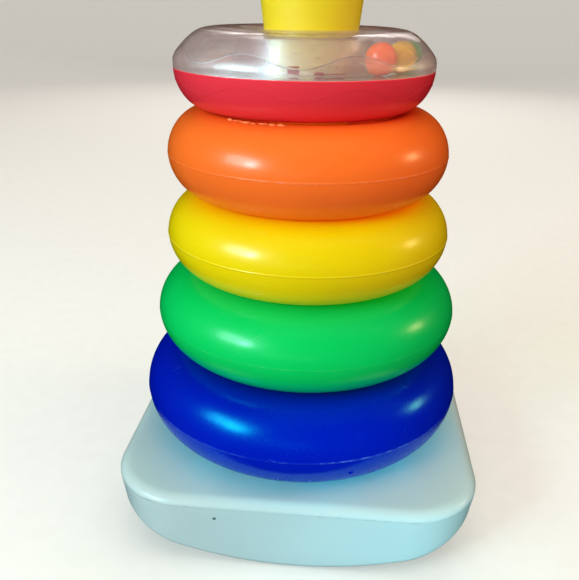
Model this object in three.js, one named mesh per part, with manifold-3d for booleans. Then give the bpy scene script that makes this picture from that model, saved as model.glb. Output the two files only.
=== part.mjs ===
// Stacking ring toy: a rocking base with a flared centre post, four hollow rings and a rattle ring.
// Millimetres, +Z up, -Y is the front. The lowest line of the rocker lies at z = 0 under the middle.
import * as THREE from 'three';
import { mergeVertices } from 'three/addons/utils/BufferGeometryUtils.js';
import Module from 'manifold-3d';

const wasm = await Module();
wasm.setup();

const DEG = Math.PI / 180;

// ---- driving dimensions ----
const SEGMENTS = 36; // facets round every ring
const BASE_HALF = 70; // half the width of the square base
const BASE_CORNER = 27.5; // plan radius of its corners
const BASE_TOP = 29.8; // height of its flat top
const BASE_WALL = 2.5;
const BASE_RIM = 3; // height of the rounding between top and side
const BASE_RIM_WIDTH = 4.5; // and its width in plan
const BASE_DRAFT = 0.037; // inward lean of the side, per millimetre down
const ROCKER_RADIUS = 145.6; // curve of the underside, about an axis along Y
const ROCKER_FACETS = 15; // odd, so that the lowest facet is a level strip
const PLUG_RADIUS = 15.7; // post plug in the base
const PLUG_GAP = 0.3;
const POST_TOP = 218;
const POST_X = -0.8; // the post stands a little off the middle of the base
const RING_HOLE = 23; // every ring has the same hole
const RING_WALL = 1.6;
const NEEDLE_RADIUS = 1.2; // blow-moulding needle hole
const SECTION_POWER = 1.9; // superellipse exponent of the ring section
const SEAT_GAP = 0.05; // between pieces that rest on one another

// One entry per plain ring: outer radius, half height, width from rim to crest, height of the
// mould line, sideways rest position on the post, and where the needle hole is drilled.
const PLAIN_RINGS = [
  { name: 'blue_ring', outer: 65.7, half: 17.75, rim: 17, z: 47.6, x: -1.4, y: -2, azimuth: 20.6,
    tilt: -23, color: 0x0118b4 },
  { name: 'green_ring', outer: 60.3, half: 16.7, rim: 17.8, z: 82.1, x: -0.2, y: -2, azimuth: 180,
    tilt: -40, color: 0x02c463 },
  { name: 'yellow_ring', outer: 54.9, half: 15.1, rim: 13.75, z: 113.95, x: -0.25, y: -2, azimuth: 180,
    tilt: -40, color: 0xf0dc04 },
  { name: 'orange_ring', outer: 52.8, half: 15.6, rim: 13.45, z: 144.7, x: -0.9, y: -2, azimuth: 180,
    tilt: -40, color: 0xfb7a28 },
];

// Rattle ring: outer radius, rim-to-crest width, depth of the red tray, height of the seam.
const RATTLE = { outer: 47.4, rim: 11.3, depth: 14.2, seam: 174.55, x: -3, y: -1.2 };
const TRAY_WALL = 1.8;
const COVER_HEIGHT = 13.3;
const COVER_WALL = 1.4;
const FLOOR_THICKNESS = 0.8;
const BEAD_RADIUS = 5;
const BEAD_TRACK = 37.2; // radius that the bead centres run on
const TABS = [
  { azimuth: -1.5, width: 3 },
  { azimuth: 12.8, width: 3.2 },
];
const TAB_RADIUS = 32;
const TAB_THICKNESS = 1;
const TAB_HEIGHT = 1.8;
const BEADS = [
  { name: 'bead_orange', azimuth: 45, color: 0xff7a4a },
  { name: 'bead_amber', azimuth: 64, color: 0xd9a32e },
  { name: 'bead_green', azimuth: 88, color: 0x1fa05a },
];

// ---- solids ----
function toManifold(geometry) {
  const plain = geometry.index ? geometry.toNonIndexed() : geometry;
  plain.deleteAttribute('normal');
  plain.deleteAttribute('uv');
  const merged = mergeVertices(plain, 1e-4);
  return new wasm.Manifold(new wasm.Mesh({
    numProp: 3,
    vertProperties: new Float32Array(merged.attributes.position.array),
    triVerts: new Uint32Array(merged.index.array),
  }));
}

function toMesh(name, solid, color, roughness, extra = {}) {
  const shape = solid.getMesh();
  const geometry = new THREE.BufferGeometry();
  geometry.setAttribute('position', new THREE.BufferAttribute(shape.vertProperties, 3));
  geometry.setIndex(new THREE.BufferAttribute(shape.triVerts, 1));
  geometry.computeVertexNormals();
  const material = new THREE.MeshStandardMaterial({ color, roughness, metalness: 0, ...extra });
  const mesh = new THREE.Mesh(geometry, material);
  mesh.name = name;
  return mesh;
}

// Turns a profile of [radius, z] points about Z. Points run anticlockwise, up the outside.
function turned(profile, segments = SEGMENTS) {
  const points = profile.map(([r, z]) => new THREE.Vector2(r, z));
  const geometry = new THREE.LatheGeometry(points, segments);
  geometry.rotateX(Math.PI / 2);
  return toManifold(geometry);
}

function ringProfile(profile) {
  return [...profile, profile[0]];
}

// A cylinder along the given direction, centred on the given point.
function drill(point, direction, radius, length) {
  const geometry = new THREE.CylinderGeometry(radius, radius, length, 8);
  const turn = new THREE.Quaternion().setFromUnitVectors(new THREE.Vector3(0, 1, 0), direction);
  geometry.applyQuaternion(turn);
  geometry.translate(point.x, point.y, point.z);
  return toManifold(geometry);
}

// A box whose long side lies along the tangent at an azimuth measured from the front.
function tangentBox(radius, azimuth, width, thickness, low, high) {
  const geometry = new THREE.BoxGeometry(width, thickness, high - low);
  geometry.translate(0, -radius, (low + high) / 2);
  geometry.rotateZ(azimuth * DEG);
  return toManifold(geometry);
}

// ---- plain rings ----
function curve(t) {
  return Math.sign(t) * Math.abs(t) ** (2 / SECTION_POWER);
}

// Section of a ring: a superellipse whose outer and inner halves meet at the crest radius.
function ringSection(outer, hole, crest, half, count) {
  const points = [];
  for (let i = 0; i < count; i += 1) {
    const angle = (i / count) * 2 * Math.PI - Math.PI / 2;
    const reach = Math.cos(angle) > 0 ? outer - crest : crest - hole;
    points.push([crest + reach * curve(Math.cos(angle)), half * curve(Math.sin(angle))]);
  }
  return ringProfile(points);
}

function plainRing(ring) {
  const crest = ring.outer - ring.rim;
  const skin = turned(ringSection(ring.outer, RING_HOLE, crest, ring.half, 16));
  const hollow = turned(ringSection(
    ring.outer - RING_WALL, RING_HOLE + RING_WALL, crest, ring.half - RING_WALL, 10));
  const azimuth = ring.azimuth * DEG;
  const tilt = ring.tilt * DEG;
  const radial = crest + ring.rim * curve(Math.cos(tilt));
  const point = new THREE.Vector3(
    radial * Math.sin(azimuth), -radial * Math.cos(azimuth), ring.half * curve(Math.sin(tilt)));
  const direction = new THREE.Vector3(
    Math.cos(tilt) * Math.sin(azimuth), -Math.cos(tilt) * Math.cos(azimuth), Math.sin(tilt));
  const needle = drill(point, direction, NEEDLE_RADIUS, RING_WALL * 5);
  const solid = skin.subtract(hollow).subtract(needle).translate([ring.x, ring.y, ring.z]);
  return toMesh(ring.name, solid, ring.color, 0.4);
}

// ---- rocker base ----
function basePlan(half, corner) {
  const shape = new THREE.Shape();
  const arm = half - corner;
  shape.absarc(arm, arm, corner, 0, 90 * DEG);
  shape.absarc(-arm, arm, corner, 90 * DEG, 180 * DEG);
  shape.absarc(-arm, -arm, corner, 180 * DEG, 270 * DEG);
  shape.absarc(arm, -arm, corner, 270 * DEG, 360 * DEG);
  return shape.getPoints(7).slice(0, -1);
}

// Stacks plan outlines into one closed solid. Each level is [half width, corner radius, z].
function lofted(levels) {
  const rings = levels.map(([half, corner]) => basePlan(half, corner));
  const count = rings[0].length;
  const positions = [];
  rings.forEach((ring, level) => ring.forEach((p) => positions.push(p.x, p.y, levels[level][2])));
  const top = levels.length - 1;
  positions.push(0, 0, levels[0][2], 0, 0, levels[top][2]);
  const index = [];
  for (let i = 0; i < count; i += 1) {
    const next = (i + 1) % count;
    for (let level = 0; level < top; level += 1) {
      const a = level * count + i;
      const b = level * count + next;
      index.push(a, b, b + count, a, b + count, a + count);
    }
    index.push(levels.length * count, next, i);
    index.push(levels.length * count + 1, top * count + i, top * count + next);
  }
  const geometry = new THREE.BufferGeometry();
  geometry.setAttribute('position', new THREE.Float32BufferAttribute(positions, 3));
  geometry.setIndex(index);
  return toManifold(geometry);
}

// Block above the curved underside, raised by the wall for the hollow.
function rockerBlock(lift) {
  const shape = new THREE.Shape();
  const reach = BASE_HALF + 5;
  const arc = 2 * Math.asin(reach / ROCKER_RADIUS);
  for (let i = 0; i <= ROCKER_FACETS; i += 1) {
    const angle = -arc / 2 + (arc * i) / ROCKER_FACETS;
    const flat = Math.cos(arc / 2 / ROCKER_FACETS);
    const x = ROCKER_RADIUS * Math.sin(angle);
    const z = ROCKER_RADIUS * (flat - Math.cos(angle)) + lift;
    if (i === 0) shape.moveTo(x, z);
    else shape.lineTo(x, z);
  }
  shape.lineTo(reach, BASE_TOP + 20);
  shape.lineTo(-reach, BASE_TOP + 20);
  shape.closePath();
  const geometry = new THREE.ExtrudeGeometry(shape, { depth: 2 * reach, bevelEnabled: false });
  geometry.rotateX(Math.PI / 2);
  geometry.translate(0, reach, 0);
  return toManifold(geometry);
}

// Outline levels from below the rocker up to the rounded rim, inset by the wall thickness.
function baseLevels(inset) {
  const shoulder = BASE_TOP - BASE_RIM;
  const low = BASE_DRAFT * (shoulder + 5);
  const levels = [[BASE_HALF - inset - low, BASE_CORNER - inset - low, -5]];
  const rise = Math.max(BASE_RIM - inset, 0.8);
  const width = BASE_RIM_WIDTH - inset;
  for (let i = 0; i <= 4; i += 1) {
    const angle = (i / 4) * 90 * DEG;
    const back = width * (1 - Math.cos(angle));
    const z = BASE_TOP - inset - rise + rise * Math.sin(angle);
    levels.push([BASE_HALF - inset - back, BASE_CORNER - inset - back, z]);
  }
  return levels;
}

function rockerBase() {
  const outside = lofted(baseLevels(0)).intersect(rockerBlock(0));
  const hollow = lofted(baseLevels(BASE_WALL)).intersect(rockerBlock(BASE_WALL));
  const socket = turned([
    [0, BASE_TOP - 5], [PLUG_RADIUS + PLUG_GAP, BASE_TOP - 5],
    [PLUG_RADIUS + PLUG_GAP, BASE_TOP + 5], [0, BASE_TOP + 5]], 32).translate([POST_X, 0, 0]);
  const needle = drill(
    new THREE.Vector3(-27, -BASE_HALF + 2, 21.8), new THREE.Vector3(0, -1, 0), NEEDLE_RADIUS, 12);
  const solid = outside.subtract(hollow).subtract(socket).subtract(needle);
  return toMesh('rocker_base', solid, 0xd5e4e2, 0.45);
}

// ---- centre post ----
function centrePost() {
  const foot = BASE_TOP + SEAT_GAP;
  const lip = BASE_TOP - BASE_WALL - SEAT_GAP;
  const outside = [
    [PLUG_RADIUS - 2, lip - 3], [PLUG_RADIUS + 1.1, lip - 1.2], [PLUG_RADIUS + 1.1, lip],
    [PLUG_RADIUS, lip], [PLUG_RADIUS, foot], [20.5, foot], [20.5, foot + 2], [18.6, foot + 4],
    [17.2, 60], [15.8, 100], [14.9, 135], [14.9, 160], [15.7, 175], [16.9, 186], [18.2, 197],
    [18.9, 206], [19.3, 213], [19.1, POST_TOP - 2], [18.2, POST_TOP - 0.5], [16.5, POST_TOP]];
  const inside = [
    [0, POST_TOP - 2], [16.2, POST_TOP - 2], [17.4, 212], [16.3, 197], [13.8, 175], [13, 160],
    [13, 135], [13.9, 100], [15.3, 60], [15.6, foot + 3], [13.7, foot], [13.7, lip - 3]];
  const solid = turned([[0, POST_TOP], ...inside, ...outside, [0, POST_TOP]], 32)
    .translate([POST_X, 0, 0]);
  return toMesh('centre_post', solid, 0xf0e020, 0.4);
}

// ---- rattle ring ----
function rattlePlace(solid) {
  return solid.translate([RATTLE.x, RATTLE.y, RATTLE.seam]);
}

// Lower quarter curves of the tray: from the hole to the crest, and from the crest to the rim.
function trayCurve(hole, outer, depth, count) {
  const crest = RATTLE.outer - RATTLE.rim;
  const points = [];
  for (let i = 0; i <= count; i += 1) {
    const angle = (i / count) * 180 * DEG;
    const reach = Math.cos(angle) < 0 ? outer - crest : crest - hole;
    points.push([crest - reach * curve(Math.cos(angle)), -depth * curve(Math.sin(angle))]);
  }
  return points;
}

function rattleTray() {
  const floor = -FLOOR_THICKNESS - SEAT_GAP;
  const outside = trayCurve(RING_HOLE, RATTLE.outer, RATTLE.depth, 14);
  const inside = trayCurve(
    RING_HOLE + TRAY_WALL, RATTLE.outer - TRAY_WALL, RATTLE.depth - TRAY_WALL, 10)
    .filter(([, z]) => z < floor - 1).reverse();
  const ledge = RATTLE.outer - TRAY_WALL - 1.6;
  const profile = [
    ...outside.slice(1), [RATTLE.outer - TRAY_WALL, 0], [RATTLE.outer - TRAY_WALL, floor],
    [ledge, floor], ...inside, [RING_HOLE + TRAY_WALL + 1, floor], [RING_HOLE, floor]];
  let solid = turned(ringProfile(profile));
  for (const tab of TABS) {
    const width = tab.width;
    const post = tangentBox(TAB_RADIUS, tab.azimuth, width, TAB_THICKNESS,
      -RATTLE.depth + TRAY_WALL * 0.5, TAB_HEIGHT);
    solid = solid.add(post);
  }
  return toMesh('rattle_tray', rattlePlace(solid), 0xd62b38, 0.4);
}

function mirrorFloor() {
  const inner = RING_HOLE + 0.1;
  const outer = RATTLE.outer - TRAY_WALL - 0.2;
  let solid = turned(ringProfile([
    [inner, -FLOOR_THICKNESS], [outer, -FLOOR_THICKNESS], [outer, 0], [inner, 0]]));
  for (const tab of TABS) {
    solid = solid.subtract(tangentBox(
      TAB_RADIUS, tab.azimuth, tab.width + 0.6, TAB_THICKNESS + 0.6, -3, 3));
  }
  return toMesh('mirror_floor', rattlePlace(solid), 0xc8d0d4, 0.12, { metalness: 0.9 });
}

function rattleCover() {
  const outside = [
    [RATTLE.outer, SEAT_GAP], [RATTLE.outer, 3], [46.5, 4.9], [44.5, 7.3], [42.2, 9.6],
    [39.4, 11.7], [36.8, 12.9], [34, COVER_HEIGHT], [24.5, COVER_HEIGHT], [RING_HOLE, 12.4]];
  const inside = [
    [RING_HOLE, SEAT_GAP], [RING_HOLE + COVER_WALL, SEAT_GAP], [RING_HOLE + COVER_WALL, 11.8],
    [33.6, 11.8], [36.2, 11.5], [38.5, 10.5], [41.1, 8.6], [43.2, 6.4], [45, 4.2],
    [RATTLE.outer - COVER_WALL, 2.6], [RATTLE.outer - COVER_WALL, SEAT_GAP]];
  const solid = turned(ringProfile([...outside, ...inside]));
  return toMesh('rattle_cover', rattlePlace(solid), 0xe4eef0, 0.15, {
    transparent: true, opacity: 0.35 });
}

function bead({ name, azimuth, color }) {
  const profile = [];
  for (let i = 0; i <= 10; i += 1) {
    const angle = (i / 10 - 0.5) * 180 * DEG;
    const radius = i === 0 || i === 10 ? 0 : BEAD_RADIUS * Math.cos(angle);
    profile.push([radius, BEAD_RADIUS * Math.sin(angle)]);
  }
  const solid = turned(profile, 16).translate([
    BEAD_TRACK * Math.sin(azimuth * DEG), -BEAD_TRACK * Math.cos(azimuth * DEG),
    BEAD_RADIUS + SEAT_GAP]);
  return toMesh(name, rattlePlace(solid), color, 0.3);
}

const toy = new THREE.Group();
toy.name = 'stacking_ring_toy';
toy.add(rockerBase(), centrePost());
toy.add(...PLAIN_RINGS.map(plainRing));
toy.add(rattleTray(), mirrorFloor(), rattleCover());
toy.add(...BEADS.map(bead));

export default toy;
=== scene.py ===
"""Stacking ring toy: the fine visual model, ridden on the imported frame."""
import math
import random
import bmesh
import bpy
from mathutils import Euler, Matrix, Vector


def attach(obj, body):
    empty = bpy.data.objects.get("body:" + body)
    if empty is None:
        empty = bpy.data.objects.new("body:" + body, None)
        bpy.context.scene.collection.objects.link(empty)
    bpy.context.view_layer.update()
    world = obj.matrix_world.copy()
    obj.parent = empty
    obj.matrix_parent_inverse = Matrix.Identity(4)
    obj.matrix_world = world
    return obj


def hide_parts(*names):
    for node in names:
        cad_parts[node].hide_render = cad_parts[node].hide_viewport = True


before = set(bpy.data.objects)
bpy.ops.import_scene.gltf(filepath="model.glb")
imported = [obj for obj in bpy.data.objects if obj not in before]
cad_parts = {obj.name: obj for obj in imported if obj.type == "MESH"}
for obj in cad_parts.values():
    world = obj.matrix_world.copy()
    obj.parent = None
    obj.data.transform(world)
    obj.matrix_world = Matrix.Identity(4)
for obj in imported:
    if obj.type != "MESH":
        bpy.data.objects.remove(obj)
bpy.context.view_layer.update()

MM = 0.001
ROUND = 160  # steps round a turned piece
FRONT = -math.pi / 2  # the front of the toy faces -Y

# ---- sizes in millimetres, as in the CAD ----
BASE_HALF = 70.0
BASE_CORNER = 27.5
BASE_TOP = 29.8
BASE_RIM = 3.0  # height of the rounded rim
BASE_RIM_IN = 4.5  # and its width
BASE_DRAFT = 0.037  # inward lean of the side, per millimetre down
BASE_NEEDLE = (-27.8, 21.8)  # x and z of the needle hole in the front
BASE_TOE = 2.2  # rounding where the side rolls under into the rocker
ROCKER_RADIUS = 145.6
BASE_SEAM_PROUD = 0.08  # how far the mould line at the shoulder of the base stands proud
RING_HOLE = 23.0
SECTION_POWER = 1.9  # superellipse exponent of the ring section
RING_SEAM_WIDTH, BASE_SEAM_WIDTH = 0.32, 0.3  # breadth of the mould lines
POST_TOP = 218.0
POST_LIP = 19.3  # radius of the post where its top edge starts to round
POST_EDGE = (3.4, 3.8)  # width and height of that rounding
POST_X = -0.8  # the post stands a little off the middle of the base

# outer radius, half height, width from rim to crest, height of the mould line, rest x and y
RINGS = {
    "blue_ring": (65.7, 17.75, 17.0, 47.6, -1.4, -2.0),
    "green_ring": (60.3, 16.7, 17.8, 82.1, -0.2, -2.0),
    "yellow_ring": (54.9, 15.1, 13.75, 113.95, -0.25, -2.0),
    "orange_ring": (52.8, 15.6, 13.45, 144.7, -0.9, -2.0),
}
# how far each mould line stands proud
SEAM_PROUD = {"blue_ring": 0.13, "green_ring": 0.05, "yellow_ring": 0.15, "orange_ring": 0.09}
# blow-moulding needle hole of each ring: azimuth from the front, tilt of the section there
NEEDLES = {
    "blue_ring": (20.6, -23),
    "green_ring": (180, -40),
    "yellow_ring": (180, -40),
    "orange_ring": (180, -40),
}
RATTLE_OUTER, RATTLE_RIM, RATTLE_DEPTH = 47.4, 11.3, 14.2
RATTLE_SEAM, RATTLE_X, RATTLE_Y = 174.55, -3.0, -1.2
RUB_RADIUS = 40.7  # where the rattle ring rubs on the orange ring
RUB_ARC = (-38.0, -8.0)  # and the azimuths between which it has worn burrs there
TRAY_WALL = 1.8
TAB_RADIUS, TAB_THICKNESS, TAB_EDGE = 32, 1.0, 0.18
COVER_TOP = 13.3
COVER_WALL = 1.3
HUB_TUBE = (26.8, 27.5)  # the cover's tube round the post is cloudy up to here, and fades out
OUTER_WALL = (40, 41)  # where the cover's top gives way to its outer wall
WAVES = 8  # crests of the moulded wave line round the rattle ring
WAVE_STEPS = 40  # points drawn for each
WAVE_START = FRONT + math.radians(2)  # where a trough lies
COVER_WAVE = (5.1, 1.85)  # middle height over the seam, and swing, of the wave on the cover
TRAY_WAVE = (-4.75, 2.0)  # and on the tray
BEAD_RADIUS, BEAD_TRACK = 5.0, 37.2
BEAD_STEPS = 48  # steps from pole to pole


# ---- mesh helpers ----
def keep(name, bm, angle=40):
    """Makes a smooth-shaded object of a bmesh, with edges sharper than angle left crisp."""
    bmesh.ops.recalc_face_normals(bm, faces=bm.faces)
    mesh = bpy.data.meshes.new(name)
    bm.to_mesh(mesh)
    bm.free()
    mesh.shade_smooth()
    mesh.set_sharp_from_angle(angle=math.radians(angle))
    obj = bpy.data.objects.new(name, mesh)
    bpy.context.scene.collection.objects.link(obj)
    return obj


def bridge(bm, low, high):
    """Faces between two rows of vertices, either of which may be one point."""
    count = max(len(low), len(high))
    for i in range(count):
        j = (i + 1) % count
        if len(low) == 1:
            bm.faces.new((low[0], high[j], high[i]))
        elif len(high) == 1:
            bm.faces.new((low[i], low[j], high[0]))
        else:
            bm.faces.new((low[i], low[j], high[j], high[i]))


def turned(name, profile, centre=(0, 0, 0), closed=True, steps=ROUND, angle=40):
    """Turns [radius, height] points in millimetres about a vertical axis."""
    bm = bmesh.new()
    rows = []
    for radius, height in profile:
        z = (height + centre[2]) * MM
        if radius < 1e-6:
            rows.append([bm.verts.new((centre[0] * MM, centre[1] * MM, z))])
            continue
        row = []
        for i in range(steps):
            turn = 2 * math.pi * i / steps
            x = centre[0] + radius * math.cos(turn)
            y = centre[1] + radius * math.sin(turn)
            row.append(bm.verts.new((x * MM, y * MM, z)))
        rows.append(row)
    pairs = list(zip(rows, rows[1:]))
    if closed:
        pairs.append((rows[-1], rows[0]))
    for low, high in pairs:
        bridge(bm, low, high)
    return keep(name, bm, angle)


def power_curve(t):
    """A sine or cosine bent into the superellipse of the ring section."""
    return math.copysign(abs(t) ** (2 / SECTION_POWER), t)


def ridge(height, place, width, proud):
    """How far a moulded line stands proud at this height."""
    return proud * math.exp(-(((height - place) / width) ** 2))


def tube(name, path, radius):
    """A thin closed bead of plastic along a closed path of points in millimetres."""
    sides = 8
    bm = bmesh.new()
    rows = []
    count = len(path)
    for i, point in enumerate(path):
        along = (path[(i + 1) % count] - path[i - 1]).normalized()
        out = Vector((point.x, point.y, 0)).normalized()
        side = along.cross(out).normalized()
        out = side.cross(along)
        row = []
        for k in range(sides):
            turn = 2 * math.pi * k / sides
            offset = out * math.cos(turn) * radius + side * math.sin(turn) * radius
            row.append(bm.verts.new((point + offset) * MM))
        rows.append(row)
    for i in range(count):
        bridge(bm, rows[i], rows[(i + 1) % count])
    return keep(name, bm)


def place(obj, body, nodes=(), slot=None):
    """Ties a finished piece to its body and hides the CAD nodes it stands for; slot is not used."""
    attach(obj, body)
    if nodes:
        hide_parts(*nodes)
    return obj


# ---- materials ----
def linear(red, green, blue):
    """A colour given in sRGB, 0 to 255, as linear light."""
    out = []
    for value in (red, green, blue):
        value /= 255
        out.append(value / 12.92 if value <= 0.04045 else ((value + 0.055) / 1.055) ** 2.4)
    return (*out, 1)


class Nodes:
    """Short calls for building a node tree."""

    def __init__(self, name):
        self.material = bpy.data.materials.new(name)
        self.material.use_nodes = True
        self.tree = self.material.node_tree
        self.shader = self.tree.nodes["Principled BSDF"]
        self.output = self.tree.nodes["Material Output"]
        coords = self.add("ShaderNodeTexCoord")
        self.point = coords.outputs["Object"]
        self.facing = coords.outputs["Normal"]

    def add(self, kind, **settings):
        node = self.tree.nodes.new(kind)
        for key, value in settings.items():
            setattr(node, key, value)
        return node

    def feed(self, socket, value):
        if isinstance(value, bpy.types.NodeSocket):
            self.tree.links.new(value, socket)
        else:
            socket.default_value = value

    def math(self, operation, a, b=0.0, c=0.0, clamp=False):
        node = self.add("ShaderNodeMath", operation=operation, use_clamp=clamp)
        for socket, value in zip(node.inputs, (a, b, c)):
            self.feed(socket, value)
        return node.outputs[0]

    def shifted(self, shift):
        node = self.add("ShaderNodeMapping")
        self.feed(node.inputs["Vector"], self.point)
        node.inputs["Location"].default_value = shift
        return node.outputs[0]

    def noise(self, scale, vector=None, detail=3.0, rough=0.5):
        node = self.add("ShaderNodeTexNoise")
        self.feed(node.inputs["Vector"], vector or self.point)
        node.inputs["Scale"].default_value = scale
        node.inputs["Detail"].default_value = detail
        node.inputs["Roughness"].default_value = rough
        return node.outputs["Fac"]

    def steps(self, value, low, high, first=0.0, last=1.0):
        """Runs from first to last as value goes from low to high, and stays level outside them."""
        node = self.add("ShaderNodeMapRange", clamp=True)
        for key, number in zip(("Value", "From Min", "From Max", "To Min", "To Max"),
                               (value, low, high, first, last)):
            self.feed(node.inputs[key], number)
        return node.outputs["Result"]

    def mix(self, amount, a, b):
        """Colour a where amount is 0, and b where it is 1."""
        node = self.add("ShaderNodeMix", data_type="RGBA")
        self.feed(node.inputs["Factor"], amount)
        self.feed(node.inputs[6], a)
        self.feed(node.inputs[7], b)
        return node.outputs[2]

    def blend_shaders(self, amount, a, b):
        """Surface a where amount is 0, and b where it is 1."""
        node = self.add("ShaderNodeMixShader")
        self.feed(node.inputs[0], amount)
        self.feed(node.inputs[1], a)
        self.feed(node.inputs[2], b)
        return node.outputs[0]

    def xyz(self):
        """The three coordinates of the point, in metres."""
        node = self.add("ShaderNodeSeparateXYZ")
        self.feed(node.inputs[0], self.point)
        return tuple(node.outputs)

    def scratches(self, seed, turn, keep_above):
        """Sparse hairlines: noise drawn out along one direction, kept where that lies in the surface."""
        node = self.add("ShaderNodeMapping", vector_type="TEXTURE")
        self.feed(node.inputs["Vector"], self.point)
        node.inputs["Location"].default_value = (seed, seed * 2, seed * 3)
        node.inputs["Rotation"].default_value = [math.radians(t) for t in turn]
        node.inputs["Scale"].default_value = (1 / 1900, 1 / 60, 1 / 1900)
        streak = self.noise(1.0, node.outputs[0], detail=1.0, rough=0.3)
        patch = self.noise(30.0, self.shifted((seed, 0, seed)), detail=1.0)
        cut = self.steps(streak, keep_above, keep_above + 0.05)
        drawn = Vector((0, 1, 0))
        drawn.rotate(Euler([math.radians(t) for t in turn]))
        across = self.add("ShaderNodeVectorMath", operation="DOT_PRODUCT")
        self.feed(across.inputs[0], self.facing)
        self.feed(across.inputs[1], drawn)
        flat = self.steps(self.math("ABSOLUTE", across.outputs["Value"]), 0.05, 0.14, 1.0, 0.0)
        return self.math("MULTIPLY", self.math("MULTIPLY", cut, flat), self.steps(patch, 0.52, 0.62))

    def let_light_through(self, surface, tint):
        """Lamps shine through this surface, tinted; to the eye it stays as it is."""
        through = self.add("ShaderNodeBsdfTransparent")
        self.feed(through.inputs["Color"], (*tint, 1))
        shadow = self.add("ShaderNodeLightPath").outputs["Is Shadow Ray"]
        self.feed(self.output.inputs["Surface"], self.blend_shaders(shadow, surface, through.outputs[0]))

    def bump(self, value, strength, distance, normal=None):
        """Tilts the surface by the slope of value, on top of an earlier bump where normal is given."""
        node = self.add("ShaderNodeBump")
        node.inputs["Strength"].default_value = strength
        node.inputs["Distance"].default_value = distance
        self.feed(node.inputs["Height"], value)
        if normal is not None:
            self.feed(node.inputs["Normal"], normal)
        return node.outputs[0]


def moulded(name, color, rough=0.36, glow=0.12, seam=None, chalk=0.1, wear=0.3,
            bright=(235, 235, 235), lopsided=0.0, coat=0.4, gloss=0.35, sheen_tone=(1, 1, 1),
            thin_wall=None):
    """Satin polyethylene: faint mottling, orange peel, hairline scratches and a scuffed seam.

    seam is its height in millimetres. Its chalky wear is even all round, or heavier towards +X
    by the share lopsided. thin_wall is the tint of light that passes each wall of a hollow
    piece, if any does.
    """
    n = Nodes(name)
    base = linear(*color)
    dim = tuple(c * 0.93 for c in base[:3]) + (1,)
    mottle = n.mix(n.steps(n.noise(22.0, detail=2.0), 0.3, 0.7), dim, base)
    marks = n.math("MAXIMUM", n.scratches(1.7, (22, 0, 80), 0.7), n.scratches(4.1, (64, 0, 20), 0.74))
    marks = n.math("MAXIMUM", marks, n.scratches(7.3, (-30, 0, 105), 0.71))
    tone = n.mix(n.math("MULTIPLY", marks, 0.22 * wear), mottle, linear(*bright))
    if seam is not None:
        x, _, z = n.xyz()
        away = n.math("ABSOLUTE", n.math("SUBTRACT", z, seam * MM))
        line = n.steps(away, 0.0001, 0.0004, 1.0, 0.0)
        broken = n.steps(n.noise(330.0, detail=3.0), 0.48, 0.66, 0.15, 1.0)
        patch = n.steps(n.noise(24.0, detail=1.0), 0.42, 0.6, 0.15, 1.0)
        rubbed = n.math("MULTIPLY", n.math("MULTIPLY", broken, patch), chalk)
        rubbed = n.math("MULTIPLY", rubbed, n.steps(x, -0.03, 0.04, 1.0 - lopsided, 1.0))
        tone = n.mix(n.math("MULTIPLY", line, rubbed), tone, linear(*bright))
    n.feed(n.shader.inputs["Base Color"], tone)
    cloud = n.steps(n.noise(60.0, detail=4.0), 0.3, 0.7, rough - 0.04, rough + 0.05)
    n.feed(n.shader.inputs["Roughness"], n.math("MULTIPLY_ADD", marks, 0.2, cloud))
    peel = n.bump(n.noise(900.0, detail=2.0), 0.26, 0.00012)
    soft = n.bump(n.noise(34.0, detail=1.0), 0.25, 0.0008, peel)
    n.feed(n.shader.inputs["Normal"], n.bump(marks, 0.12, 0.00004, soft))
    n.shader.inputs["Specular IOR Level"].default_value = gloss
    n.shader.inputs["Specular Tint"].default_value = (*sheen_tone, 1)
    n.shader.inputs["Coat Weight"].default_value = coat
    n.shader.inputs["Coat Roughness"].default_value = 0.19
    n.shader.inputs["Subsurface Weight"].default_value = glow
    n.shader.inputs["Subsurface Radius"].default_value = (1.0, 0.7, 0.5)
    n.shader.inputs["Subsurface Scale"].default_value = 0.004
    if thin_wall:
        n.let_light_through(n.shader.outputs[0], thin_wall)
    return n.material


def below_wave(n):
    """1 on the outer wall between the weld and the moulded wave, and 0 elsewhere; and the radius."""
    x, y, z = n.xyz()
    across = n.math("SUBTRACT", x, RATTLE_X * MM)
    away = n.math("SUBTRACT", y, RATTLE_Y * MM)
    turn = n.math("MULTIPLY_ADD", n.math("ARCTAN2", away, across), WAVES, -WAVES * WAVE_START)
    crest = n.math("MULTIPLY_ADD", n.math("COSINE", turn), -COVER_WAVE[1] * MM,
                   (RATTLE_SEAM + COVER_WAVE[0]) * MM)
    under = n.steps(n.math("SUBTRACT", z, crest), -0.00015, 0.00015, 1.0, 0.0)
    square = n.math("ADD", n.math("MULTIPLY", across, across), n.math("MULTIPLY", away, away))
    radius = n.math("SQRT", square)
    wall = n.steps(radius, OUTER_WALL[0] * MM, OUTER_WALL[1] * MM)
    return n.math("MULTIPLY", under, wall), radius


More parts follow.
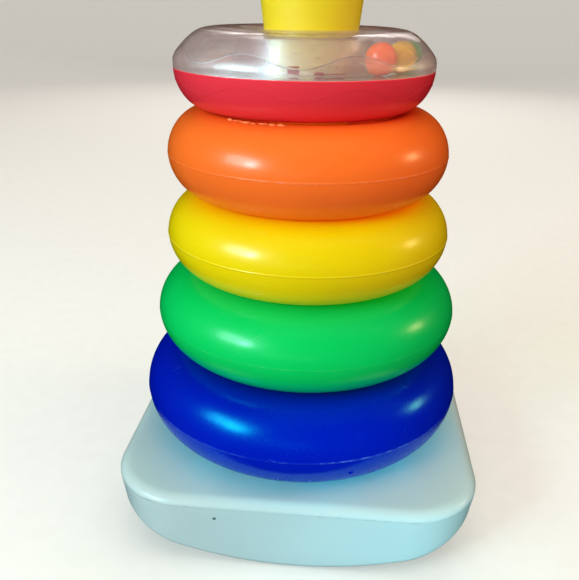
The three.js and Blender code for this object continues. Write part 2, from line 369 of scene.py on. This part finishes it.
def clear_plastic(name, milky, haze_low, haze_high, edge_haze=0.0, frost=0.0, band=0.0, hub=0.0):
    """Clear styrene with a light haze: bends light for the eye and lets lamps through.

    The haze thickens towards grazing views by edge_haze, at the weld by frost, between the weld
    and the moulded wave by band, and on the tube round the post by hub.
    """
    n = Nodes(name)
    scuff = n.math("MAXIMUM", n.scratches(2.3, (10, 0, 85), 0.66), n.scratches(5.9, (60, 0, 40), 0.67))
    haze = n.steps(n.noise(45.0, detail=3.0), 0.3, 0.7, haze_low, haze_high)
    haze = n.math("MULTIPLY_ADD", scuff, 0.2, haze, clamp=True)
    edge = n.add("ShaderNodeLayerWeight")
    edge.inputs["Blend"].default_value = 0.35
    haze = n.math("MULTIPLY_ADD", edge.outputs["Facing"], edge_haze, haze, clamp=True)
    welded = n.steps(n.xyz()[2], (RATTLE_SEAM + 0.3) * MM, (RATTLE_SEAM + 1.0) * MM, frost, 0.0)
    haze = n.math("ADD", haze, welded, clamp=True)
    under, radius = below_wave(n)
    haze = n.math("MULTIPLY_ADD", under, band, haze, clamp=True)
    cloudy_hub = n.steps(radius, HUB_TUBE[0] * MM, HUB_TUBE[1] * MM, hub, 0.0)
    haze = n.math("ADD", haze, cloudy_hub, clamp=True)
    n.shader.inputs["Base Color"].default_value = linear(240, 240, 242)
    n.shader.inputs["Transmission Weight"].default_value = 1.0
    n.shader.inputs["IOR"].default_value = 1.45
    n.feed(n.shader.inputs["Roughness"], n.steps(n.noise(300.0), 0.3, 0.7, 0.03, 0.07))
    step = n.bump(under, 0.4, 0.0002)
    n.feed(n.shader.inputs["Normal"], n.bump(n.noise(60.0, detail=2.0), 0.12, 0.0006, step))
    milk = n.add("ShaderNodeBsdfDiffuse")
    n.feed(milk.inputs["Color"], linear(*milky))
    glare = n.add("ShaderNodeBsdfAnisotropic")
    glare.inputs["Color"].default_value = (0.9, 0.9, 0.9, 1)
    glare.inputs["Roughness"].default_value = 0.42
    cloud = n.blend_shaders(0.65, milk.outputs[0], glare.outputs[0])
    body = n.blend_shaders(haze, n.shader.outputs[0], cloud)
    n.let_light_through(body, (0.93, 0.95, 0.95))
    return n.material


def silver_film():
    """Thin mirrored disc, slightly wavy and smudged."""
    n = Nodes("silver_film")
    smudge = n.noise(70.0, detail=3.0)
    n.feed(n.shader.inputs["Base Color"],
           n.mix(smudge, linear(196, 204, 208), linear(226, 230, 232)))
    n.shader.inputs["Metallic"].default_value = 1.0
    n.feed(n.shader.inputs["Roughness"], n.steps(smudge, 0.3, 0.7, 0.06, 0.16))
    n.feed(n.shader.inputs["Normal"], n.bump(n.noise(55.0, detail=1.0), 0.25, 0.0008))
    return n.material


def pale_floor():
    """Matt studio floor with the faintest grain, lit a little from within so that it stays pale."""
    n = Nodes("studio_floor")
    grain = n.noise(120.0, detail=4.0)
    tone = n.mix(grain, linear(206, 204, 200), linear(212, 210, 206))
    n.feed(n.shader.inputs["Base Color"], tone)
    n.feed(n.shader.inputs["Emission Color"], tone)
    n.shader.inputs["Emission Strength"].default_value = 0.36
    n.shader.inputs["Roughness"].default_value = 0.85
    n.feed(n.shader.inputs["Normal"], n.bump(grain, 0.1, 0.0003))
    n.material.cycles.emission_sampling = "NONE"
    return n.material


# ---- rings ----
def ring_profile(outer, half, rim, proud):
    """Superellipse section with the mould line standing proud of the equator.

    Its points lie 3 degrees apart, and closer near the equator to draw the line.
    """
    crest = outer - rim
    points = []
    angles = [math.radians(a) for a in range(-90, 270, 3)]
    angles += [math.radians(a / 4) for a in range(-22, 23) if a % 12]
    for angle in sorted(angles):
        reach = rim if math.cos(angle) > 0 else crest - RING_HOLE
        height = half * power_curve(math.sin(angle))
        radius = crest + reach * power_curve(math.cos(angle))
        if math.cos(angle) > 0:
            radius += ridge(height, 0, RING_SEAM_WIDTH, proud)
        points.append((radius, height))
    return points


def plain_ring(name, color, slot, **finish):
    outer, half, rim, z, x, y = RINGS[name]
    obj = turned(name + "_body", ring_profile(outer, half, rim, SEAM_PROUD[name]), (x, y, z))
    azimuth, tilt = (math.radians(a) for a in NEEDLES[name])
    radial = outer - rim + rim * power_curve(math.cos(tilt))
    way = Vector((math.sin(azimuth), -math.cos(azimuth), 0))
    mouth = way * radial + Vector((x, y, z + half * power_curve(math.sin(tilt))))
    drilled(obj, mouth, way * math.cos(tilt) + Vector((0, 0, math.sin(tilt))), radius=1.0, depth=5)
    obj.data.materials.append(moulded(name + "_plastic", color, seam=z, **finish))
    return place(obj, name + "_body", (name,), slot)


def rest_scuffs():
    """Small raised burrs on the orange ring, along the line where the rattle ring rubs on it."""
    _, half, _, z, x, y = RINGS["orange_ring"]
    draw = random.Random(11)
    bm = bmesh.new()
    azimuth, last = RUB_ARC
    while azimuth < last:
        length = draw.uniform(1.5, 4.0)
        azimuth += math.degrees(length / RUB_RADIUS) * 0.5
        shape = Matrix.Diagonal((length / 2, draw.uniform(0.4, 0.9), draw.uniform(0.3, 0.6), 1))
        spot = Matrix.Translation(Vector((0, -RUB_RADIUS - draw.uniform(-0.5, 0.5), half - 0.1)))
        lean = Matrix.Rotation(math.radians(draw.uniform(-14, 14)), 4, "Z")
        turn = Matrix.Translation(Vector((x, y, z))) @ Matrix.Rotation(math.radians(azimuth), 4, "Z")
        burr = bmesh.ops.create_icosphere(bm, subdivisions=2, radius=1)["verts"]
        for vert in burr:
            vert.co *= draw.uniform(0.8, 1.15)
        bmesh.ops.transform(bm, matrix=Matrix.Scale(MM, 4) @ turn @ spot @ lean @ shape, verts=burr)
        azimuth += math.degrees((length / 2 + draw.uniform(-0.6, 0.2)) / RUB_RADIUS)
    obj = keep("orange_ring_scuffs", bm)
    obj.data.materials.append(moulded("orange_scuff_plastic", (255, 138, 84), rough=0.45, glow=0.2))
    return place(obj, "orange_ring_body", (), "ring_orange")


# ---- base ----
CORNER_STEPS = 24
SIDE_STEPS = 20


def base_outline(half, corner):
    """Points of a rounded square, anticlockwise, each side divided evenly."""
    arm = half - corner
    points = []
    for quarter in range(4):
        first = quarter * math.pi / 2
        centre = Matrix.Rotation(first, 2) @ Vector((arm, arm))
        for i in range(CORNER_STEPS):
            angle = first + math.pi / 2 * i / CORNER_STEPS
            points.append(centre + corner * Vector((math.cos(angle), math.sin(angle))))
        side_start = centre + corner * Vector((-math.sin(first), math.cos(first)))
        way = Vector((-math.cos(first), -math.sin(first)))
        for i in range(SIDE_STEPS):
            points.append(side_start + way * (2 * arm * i / SIDE_STEPS))
    return points


def rocker_height(x):
    """Height of the curved underside above the floor."""
    return ROCKER_RADIUS - math.sqrt(ROCKER_RADIUS ** 2 - x ** 2)


def base_level(bm, inset, height):
    """One outline of the base, set in by inset; height is a number or a rule of the point."""
    row = []
    for p in base_outline(BASE_HALF - inset, BASE_CORNER - inset):
        z = height(p) if callable(height) else height
        row.append(bm.verts.new((p.x * MM, p.y * MM, z * MM)))
    return row


def base_plate(bm, inset, share, height):
    """A scaled-down outline for the flat top or the curved underside."""
    row = []
    for p in base_outline(BASE_HALF - inset, BASE_CORNER - inset):
        q = p * share
        row.append(bm.verts.new((q.x * MM, q.y * MM, height(q) * MM)))
    return row


def rocker_base():
    """Built up in rows, from the lowest point over the side and the rim to the middle of the top."""
    bm = bmesh.new()
    shoulder = BASE_TOP - BASE_RIM
    rows = [[bm.verts.new((0, 0, 0))]]
    wall_low = BASE_DRAFT * shoulder
    # the curved underside
    for share in (0.12, 0.3, 0.5, 0.7, 0.85, 0.95):
        rows.append(base_plate(bm, wall_low + BASE_TOE, share, lambda q: rocker_height(q.x)))
    # the rounded toe
    for i in range(7):
        angle = math.pi / 2 * i / 6
        inset = wall_low + BASE_TOE * (1 - math.sin(angle))
        lift = BASE_TOE * (1 - math.cos(angle))
        rows.append(base_level(bm, inset, lambda p: rocker_height(p.x) + lift))
    # the side
    for share in (0.2, 0.4, 0.6, 0.8, 0.9):
        def wall(p, share=share):
            low = rocker_height(p.x) + BASE_TOE
            return low + (shoulder - 1.2 - low) * share
        rows.append(base_level(bm, wall_low * (1 - share), wall))
    # the mould line at the shoulder
    for z in (-1.2, -0.8, -0.55, -0.35, -0.18, 0.0, 0.18, 0.35, 0.55):
        rows.append(base_level(bm, -ridge(z, 0, BASE_SEAM_WIDTH, BASE_SEAM_PROUD), shoulder + z))
    # the rounded rim
    for i in range(2, 11):
        angle = math.pi / 2 * i / 10
        inset = BASE_RIM_IN * (1 - math.cos(angle))
        rows.append(base_level(bm, inset, shoulder + BASE_RIM * math.sin(angle)))
    # the flat top
    for share in (0.96, 0.85, 0.7, 0.5, 0.3):
        rows.append(base_plate(bm, BASE_RIM_IN, share, lambda q: BASE_TOP))
    rows.append([bm.verts.new((0, 0, BASE_TOP * MM))])
    for low, high in zip(rows, rows[1:]):
        bridge(bm, low, high)
    obj = keep("rocker_base_body", bm, 60)
    drilled(obj, (BASE_NEEDLE[0], -BASE_HALF + 0.2, BASE_NEEDLE[1]), (0, -1, 0), radius=0.8, depth=5)
    obj.data.materials.append(moulded(
        "base_plastic", (190, 205, 203), rough=0.38, glow=0.15, seam=shoulder, chalk=0.45, wear=0.25,
        bright=(120, 126, 120)))
    return place(obj, "stand", ("rocker_base",), "white_plastic")


def drilled(obj, at, direction, radius, depth):
    """Cuts a small blind needle hole, with a slightly flared mouth."""
    bm = bmesh.new()
    bmesh.ops.create_cone(bm, cap_ends=True, segments=20, radius1=radius * 0.8,
                          radius2=radius * 1.1, depth=depth)
    turn = Vector((0, 0, 1)).rotation_difference(Vector(direction)).to_matrix().to_4x4()
    bmesh.ops.transform(bm, matrix=Matrix.Scale(MM, 4) @ Matrix.Translation(at) @ turn, verts=bm.verts)
    cutter = keep("needle_cutter", bm)
    cut = obj.modifiers.new("needle", "BOOLEAN")
    cut.object = cutter
    cut.solver = "EXACT"
    bpy.context.view_layer.update()
    shown = obj.evaluated_get(bpy.context.evaluated_depsgraph_get())
    mesh = bpy.data.meshes.new_from_object(shown)
    mesh.shade_smooth()
    mesh.set_sharp_from_angle(angle=math.radians(35))
    obj.modifiers.clear()
    obj.data = mesh
    bpy.data.objects.remove(cutter)


# ---- post ----
def smooth_through(points, parts=6):
    """A Catmull-Rom curve through the given [radius, height] points."""
    ends = [points[0], *points, points[-1]]
    out = []
    for i in range(1, len(ends) - 2):
        a, b, c, d = (Vector(p) for p in ends[i - 1:i + 3])
        for k in range(parts):
            t = k / parts
            out.append(0.5 * (2 * b + (c - a) * t + (2 * a - 5 * b + 4 * c - d) * t ** 2
                              + (3 * b - a - 3 * c + d) * t ** 3))
    out.append(Vector(points[-1]))
    return [(p.x, p.y) for p in out]


def centre_post():
    """A flange on the base, a waisted stem and a rounded top edge, as [radius, height] points."""
    foot = BASE_TOP
    stem = smooth_through([
        (18.6, foot + 4), (17.2, 60), (15.8, 100), (14.9, 135), (14.9, 160), (15.7, 175),
        (16.9, 186), (18.2, 197), (18.9, 206), (POST_LIP, 213)])
    across, up = POST_EDGE
    crown = [(POST_LIP - across * (1 - math.cos(a)), POST_TOP - up + up * math.sin(a))
             for a in (math.pi / 2 * i / 8 for i in range(1, 9))]
    profile = [(0, foot), (20.5, foot), (20.5, foot + 2), (19.6, foot + 3), *stem, *crown,
               (9, POST_TOP), (0, POST_TOP)]
    obj = turned("centre_post_body", profile, (POST_X, 0, 0), closed=False, angle=50)
    obj.data.materials.append(moulded(
        "post_plastic", (246, 212, 34), rough=0.44, glow=0.15, wear=0.3, coat=0.0, gloss=0.95))
    return place(obj, "stand", ("centre_post",), "post_yellow")


# ---- rattle ring ----
RATTLE_AT = (RATTLE_X, RATTLE_Y, RATTLE_SEAM)
CREST = RATTLE_OUTER - RATTLE_RIM
COVER_OUTSIDE = [(47.4, 0), (47.4, 1.5), (47.35, 3), (46.5, 4.9), (44.5, 7.3), (42.2, 9.6),
                 (39.4, 11.7), (36.8, 12.8), (34, COVER_TOP)]


def tray_curve(hole, outer, depth, steps):
    """The underside of the tray, from the hole down over the crest and up to the rim."""
    points = []
    for i in range(steps + 1):
        angle = math.pi * i / steps
        reach = outer - CREST if math.cos(angle) < 0 else CREST - hole
        radius = CREST - reach * power_curve(math.cos(angle))
        points.append((radius, -depth * power_curve(math.sin(angle))))
    return points


def rattle_tray():
    outside = tray_curve(RING_HOLE, RATTLE_OUTER, RATTLE_DEPTH, 72)
    inside = tray_curve(RING_HOLE + TRAY_WALL, RATTLE_OUTER - TRAY_WALL, RATTLE_DEPTH - TRAY_WALL, 40)
    inside = [p for p in inside if p[1] < -2][::-1]
    rim = RATTLE_OUTER - TRAY_WALL
    profile = [*outside[1:-1], (RATTLE_OUTER, -0.25), (RATTLE_OUTER - 0.25, 0), (rim, 0), (rim, -0.85),
               (rim - 1.6, -0.85), *inside, (RING_HOLE + TRAY_WALL + 1, -0.85), (RING_HOLE, -0.85)]
    obj = turned("rattle_tray_body", profile, RATTLE_AT)
    obj.data.materials.append(moulded("tray_plastic", (238, 62, 76), rough=0.34, glow=0.12, wear=0.1,
                                       thin_wall=(0.7, 0.12, 0.12)))
    return place(obj, "rattle_ring", ("rattle_tray",), "tray_red")


def wave_line(name, wave, radius_at, thickness, material, slot):
    """The moulded wave that runs round the rattle ring, trough to the front."""
    middle, swing = wave
    path = []
    for i in range(WAVES * WAVE_STEPS):
        turn = 2 * math.pi * i / (WAVES * WAVE_STEPS)
        height = middle - swing * math.cos(WAVES * turn)
        radius = radius_at(height)
        angle = WAVE_START + turn
        path.append(Vector((RATTLE_X + radius * math.cos(angle), RATTLE_Y + radius * math.sin(angle),
                            RATTLE_SEAM + height)))
    obj = tube(name, path, thickness)
    obj.data.materials.append(material)
    return place(obj, "rattle_ring", (), slot)


def tray_radius(height):
    """Outer radius of the tray at a height over the seam, which is below 0."""
    share = min(abs(height) / RATTLE_DEPTH, 1) ** SECTION_POWER
    return CREST + RATTLE_RIM * (1 - share) ** (1 / SECTION_POWER)


def cover_radius(height):
    """Outer radius of the cover at a height over the seam."""
    for (r0, z0), (r1, z1) in zip(COVER_OUTSIDE, COVER_OUTSIDE[1:]):
        if z0 <= height <= z1:
            return r0 + (r1 - r0) * (height - z0) / (z1 - z0)
    return COVER_OUTSIDE[-1][0]


def rattle_cover(material):
    outside = [*smooth_through(COVER_OUTSIDE, 5), (30, COVER_TOP), (24.6, COVER_TOP), (23.6, 13.0),
               (23.05, 12.3)]
    inside = [(RING_HOLE + 0.02, 0.1), (RING_HOLE + 2.8 * COVER_WALL, 0.1),
              (RING_HOLE + COVER_WALL, 11.2), (RING_HOLE + COVER_WALL + 0.8, 12.0), (33.6, 12.0)]
    inside += smooth_through([(33.6, 12.0), (36.3, 11.6), (38.7, 10.6), (41.3, 8.7), (43.4, 6.5),
                              (45.2, 4.3), (46.0, 2.6), (46.1, 1.4), (46.1, 0.1)], 4)[1:]
    obj = turned("rattle_cover_body", [*outside, *inside], RATTLE_AT)
    obj.data.materials.append(material)
    return place(obj, "rattle_ring", ("rattle_cover",), "clear_plastic")


def mirror_floor():
    inner, outer = RING_HOLE + 0.3, RATTLE_OUTER - TRAY_WALL - 0.3
    profile = [(inner, -0.8), (outer, -0.8), (outer, -0.15), (outer - 0.15, 0), (36, 0), (30, 0),
               (inner, 0)]
    obj = turned("mirror_floor_body", profile, RATTLE_AT)
    obj.data.materials.append(silver_film())
    return place(obj, "rattle_ring", ("mirror_floor",), "silver_film")


def hub_tab(name, azimuth, width, low, high, material):
    """A small upright clip of the tray that stands through the mirror disc, low to high over the seam."""
    bm = bmesh.new()
    bmesh.ops.create_cube(bm, size=1)
    bmesh.ops.scale(bm, vec=(width * MM, TAB_THICKNESS * MM, (high - low) * MM), verts=bm.verts)
    bmesh.ops.bevel(bm, geom=bm.edges[:], offset=TAB_EDGE * MM, segments=2, affect="EDGES")
    stand = Matrix.Translation(Vector((RATTLE_X, RATTLE_Y, RATTLE_SEAM + (low + high) / 2)) * MM)
    turn = Matrix.Rotation(math.radians(azimuth), 4, "Z")
    out = Matrix.Translation(Vector((0, -TAB_RADIUS, 0)) * MM)
    bmesh.ops.transform(bm, matrix=stand @ turn @ out, verts=bm.verts)
    obj = keep(name, bm)
    obj.data.materials.append(material)
    return place(obj, "rattle_ring", (), "tray_red")


def bead(color_name, azimuth, color):
    """A moulded bead with a fine parting line."""
    angle = FRONT + math.radians(azimuth)
    at = (RATTLE_X + BEAD_TRACK * math.cos(angle), RATTLE_Y + BEAD_TRACK * math.sin(angle),
          RATTLE_SEAM + BEAD_RADIUS + 0.05)
    profile = []
    for i in range(BEAD_STEPS + 1):
        tilt = math.pi * (i / BEAD_STEPS - 0.5)
        height = BEAD_RADIUS * math.sin(tilt)
        radius = BEAD_RADIUS * math.cos(tilt) - 0.06 + ridge(height, 0.4, 0.16, 0.05)
        profile.append((0 if i in (0, BEAD_STEPS) else max(radius, 0.05), height))
    obj = turned("bead_" + color_name + "_body", profile, at, closed=False, steps=64)
    obj.data.materials.append(moulded("bead_plastic_" + color_name, color, rough=0.25, glow=0.08, wear=0.2))
    return place(obj, color_name + "_bead_body", ("bead_" + color_name,), "bead_" + color_name)


# ---- the toy ----
def build_toy():
    rocker_base()
    centre_post()
    plain_ring("blue_ring", (0, 31, 174), "ring_blue", rough=0.26, glow=0.05, chalk=0.45, wear=0.45,
               bright=(150, 190, 240), lopsided=0.7, coat=0.0, gloss=0.75, sheen_tone=(0.02, 1, 1),
               thin_wall=(0.0, 0.85, 0.95))
    plain_ring("green_ring", (0, 195, 97), "ring_green", glow=0.1, chalk=0.06, wear=0.4,
               thin_wall=(0.05, 0.8, 0.4))
    plain_ring("yellow_ring", (238, 207, 0), "ring_yellow", glow=0.15, chalk=0.1, wear=0.12,
               thin_wall=(0.85, 0.75, 0.05))
    plain_ring("orange_ring", (255, 120, 44), "ring_orange", glow=0.15, chalk=0.12, wear=0.3,
               thin_wall=(0.8, 0.4, 0.08))
    rest_scuffs()
    rattle_tray()
    wave_line("wave_line_tray", TRAY_WAVE, tray_radius, 0.09,
              moulded("tray_line_plastic", (226, 54, 66), rough=0.6, coat=0.0, wear=0.0), "tray_red")
    mirror_floor()
    # the tabs get a darker red than the tray they belong to: painted shade, for the shadow they sit in
    # under the cover
    tab_painted_shade = moulded("hub_tab_painted_shade_plastic", (150, 22, 24), rough=0.4, glow=0.05, wear=0.1)
    hub_tab("hub_tab_left", azimuth=-2.2, width=3.8, low=0.6, high=3.0, material=tab_painted_shade)
    hub_tab("hub_tab_right", azimuth=12.6, width=3.2, low=0.3, high=1.9, material=tab_painted_shade)
    hub_tab("hub_tab_ledge", azimuth=22.0, width=7.0, low=0.6, high=1.4, material=tab_painted_shade)
    rattle_cover(clear_plastic(
        "clear_plastic", (224, 168, 158), haze_low=0.07, haze_high=0.15, edge_haze=0.36, frost=0.12,
        band=0.1, hub=0.14))
    # the wave line on the cover is a dark grey-pink milk: painted shade, for the darkness a clear moulded
    # ridge shows where it bends the light
    wave_line("wave_line_cover", COVER_WAVE, cover_radius, 0.07,
              clear_plastic("cover_wave_painted_shade", (92, 66, 66), haze_low=0.5, haze_high=0.65),
              "clear_plastic")
    bead("orange", 45, (255, 112, 66))
    bead("amber", 64, (240, 182, 56))
    bead("green", 88, (24, 168, 70))


# ---- studio ----
FLOOR_RADIUS = 1500  # where the floor starts to sweep up
SWEEP_RADIUS = 700
WALL_TOP = 1900


def studio_floor():
    """A round pale floor that sweeps up into a low wall, the same from every side."""
    sweep = [(FLOOR_RADIUS + SWEEP_RADIUS * math.sin(a), SWEEP_RADIUS * (1 - math.cos(a)))
             for a in (math.pi / 2 * i / 16 for i in range(17))]
    profile = [(0, 0), (300, 0), (800, 0), *sweep, (FLOOR_RADIUS + SWEEP_RADIUS, WALL_TOP)]
    floor = turned("studio_floor", profile, (0, 0, -0.2), closed=False, steps=96)
    floor.data.materials.append(pale_floor())
    floor.visible_diffuse = False
    floor.visible_glossy = False


def soft_light(name, azimuth, elevation, distance, width, height, watts, color, mirrored=True,
               aim=(0, 0, 0.11), spread=180):
    """An area lamp in metres and degrees, at a distance from the point aim that it faces.

    Its azimuth runs from the front towards +X, and mirrored says if shiny surfaces show it.
    """
    data = bpy.data.lights.new(name, "AREA")
    data.shape = "RECTANGLE"
    data.size, data.size_y = width, height
    data.energy = watts
    data.color = color
    data.spread = math.radians(spread)
    lamp = bpy.data.objects.new(name, data)
    a, e = math.radians(azimuth), math.radians(elevation)
    way = Vector((math.sin(a) * math.cos(e), -math.cos(a) * math.cos(e), math.sin(e)))
    target = Vector(aim)
    lamp.location = target + way * distance
    lamp.rotation_mode = "QUATERNION"
    lamp.rotation_quaternion = (-way).to_track_quat("-Z", "Y")
    lamp.visible_glossy = mirrored
    lamp.visible_camera = False
    bpy.context.scene.collection.objects.link(lamp)
    return lamp


AIR_STRENGTH = 0.28


def room_air():
    """Even soft light from all round, which surfaces don't mirror, except from within clear plastic."""
    world = bpy.data.worlds.new("studio_world")
    world.use_nodes = True
    tree = world.node_tree
    air = tree.nodes["Background"]
    air.inputs["Color"].default_value = (1.0, 0.92, 0.84, 1)
    path = tree.nodes.new("ShaderNodeLightPath")
    outside = tree.nodes.new("ShaderNodeMath")
    outside.operation = "LESS_THAN"
    tree.links.new(path.outputs["Transmission Depth"], outside.inputs[0])
    outside.inputs[1].default_value = 0.5
    mirror = tree.nodes.new("ShaderNodeMath")
    mirror.operation = "MULTIPLY"
    tree.links.new(path.outputs["Is Glossy Ray"], mirror.inputs[0])
    tree.links.new(outside.outputs[0], mirror.inputs[1])
    strength = tree.nodes.new("ShaderNodeMath")
    strength.operation = "MULTIPLY_ADD"
    tree.links.new(mirror.outputs[0], strength.inputs[0])
    strength.inputs[1].default_value = -AIR_STRENGTH
    strength.inputs[2].default_value = AIR_STRENGTH
    tree.links.new(strength.outputs[0], air.inputs["Strength"])
    world.cycles.sampling_method = "NONE"
    bpy.context.scene.world = world


def ring_glow():
    """Light scattered inside the hollow blue ring, coming down through its thin wall on to the base.

    The lamps ride with the ring, so the glow goes when the ring is lifted.
    """
    outer, _, _, _, x, y = RINGS["blue_ring"]
    for azimuth, watts in ((-62, 0.0004), (-40, 0.001), (-18, 0.0045), (4, 0.006), (26, 0.003)):
        angle = math.radians(azimuth)
        out = Vector((math.sin(angle), -math.cos(angle), 0))
        aim = Vector((x, y, BASE_TOP)) + out * (outer - 12)
        lamp = soft_light(f"ring_glow_{azimuth}", azimuth + 180, 75, 0.014, 0.022, 0.004, watts,
                          (0.0, 0.88, 1.0), mirrored=False, aim=aim * MM, spread=100)
        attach(lamp, "blue_ring_body")


def studio():
    studio_floor()
    # each lamp: azimuth, elevation, distance, width, height, watts, colour
    soft_light("key_window", -50, 23, 0.95, 0.4, 0.28, 3.4, (0.6, 0.9, 1.0))
    soft_light("key_pane", -40, 20, 0.95, 0.13, 0.14, 1.7, (0.5, 0.92, 1.0))
    soft_light("right_fill", 94, 18, 1.1, 0.2, 0.18, 1.5, (1.0, 0.72, 0.38))
    soft_light("front_sky", -8, 8, 1.6, 1.1, 0.4, 9.0, (0.86, 0.9, 0.94), mirrored=False)
    soft_light("low_front", 22, 6, 0.3, 0.05, 0.03, 0.016, (0.1, 0.78, 1.0), mirrored=False,
               aim=(0.045, -0.07, 0.01), spread=34)
    soft_light("right_top", 80, 46, 1.2, 0.5, 0.4, 1.1, (1.0, 0.95, 0.84), mirrored=False)
    ring_glow()
    soft_light("back_fill", 180, 25, 1.4, 0.9, 0.6, 4.0, (1.0, 0.95, 0.9), mirrored=False)
    soft_light("overhead", 20, 80, 1.5, 1.5, 1.5, 9.0, (1.0, 0.91, 0.78), mirrored=False)
    room_air()
    bpy.context.scene.view_settings.view_transform = "Standard"
    bpy.context.scene.view_settings.look = "Medium High Contrast"


# ---- camera, at the viewing angle of a person standing over the toy ----
CAMERA_AT = Vector((14.2, -256.5, 198.0)) * MM
CAMERA_HEADING = math.radians(4.77)  # anticlockwise from +Y, seen from above
CAMERA_PITCH = math.radians(23.84)  # below the horizon
CAMERA_ROLL = math.radians(0.88)
CAMERA_LENS = 41.3


def camera():
    data = bpy.data.cameras.new("camera")
    data.lens = CAMERA_LENS
    data.sensor_width = 36
    data.clip_start = 0.01
    data.clip_end = 20
    cam = bpy.data.objects.new("camera", data)
    way = Vector((-math.sin(CAMERA_HEADING) * math.cos(CAMERA_PITCH),
                  math.cos(CAMERA_HEADING) * math.cos(CAMERA_PITCH), -math.sin(CAMERA_PITCH)))
    right = way.cross(Vector((0, 0, 1))).normalized()
    up = right.cross(way)
    x = right * math.cos(CAMERA_ROLL) + up * math.sin(CAMERA_ROLL)
    y = up * math.cos(CAMERA_ROLL) - right * math.sin(CAMERA_ROLL)
    turn = Matrix((x, y, -way)).transposed().to_4x4()
    cam.matrix_world = Matrix.Translation(CAMERA_AT) @ turn
    bpy.context.scene.collection.objects.link(cam)
    bpy.context.scene.camera = cam


camera()
build_toy()
studio()
bpy.context.view_layer.update()
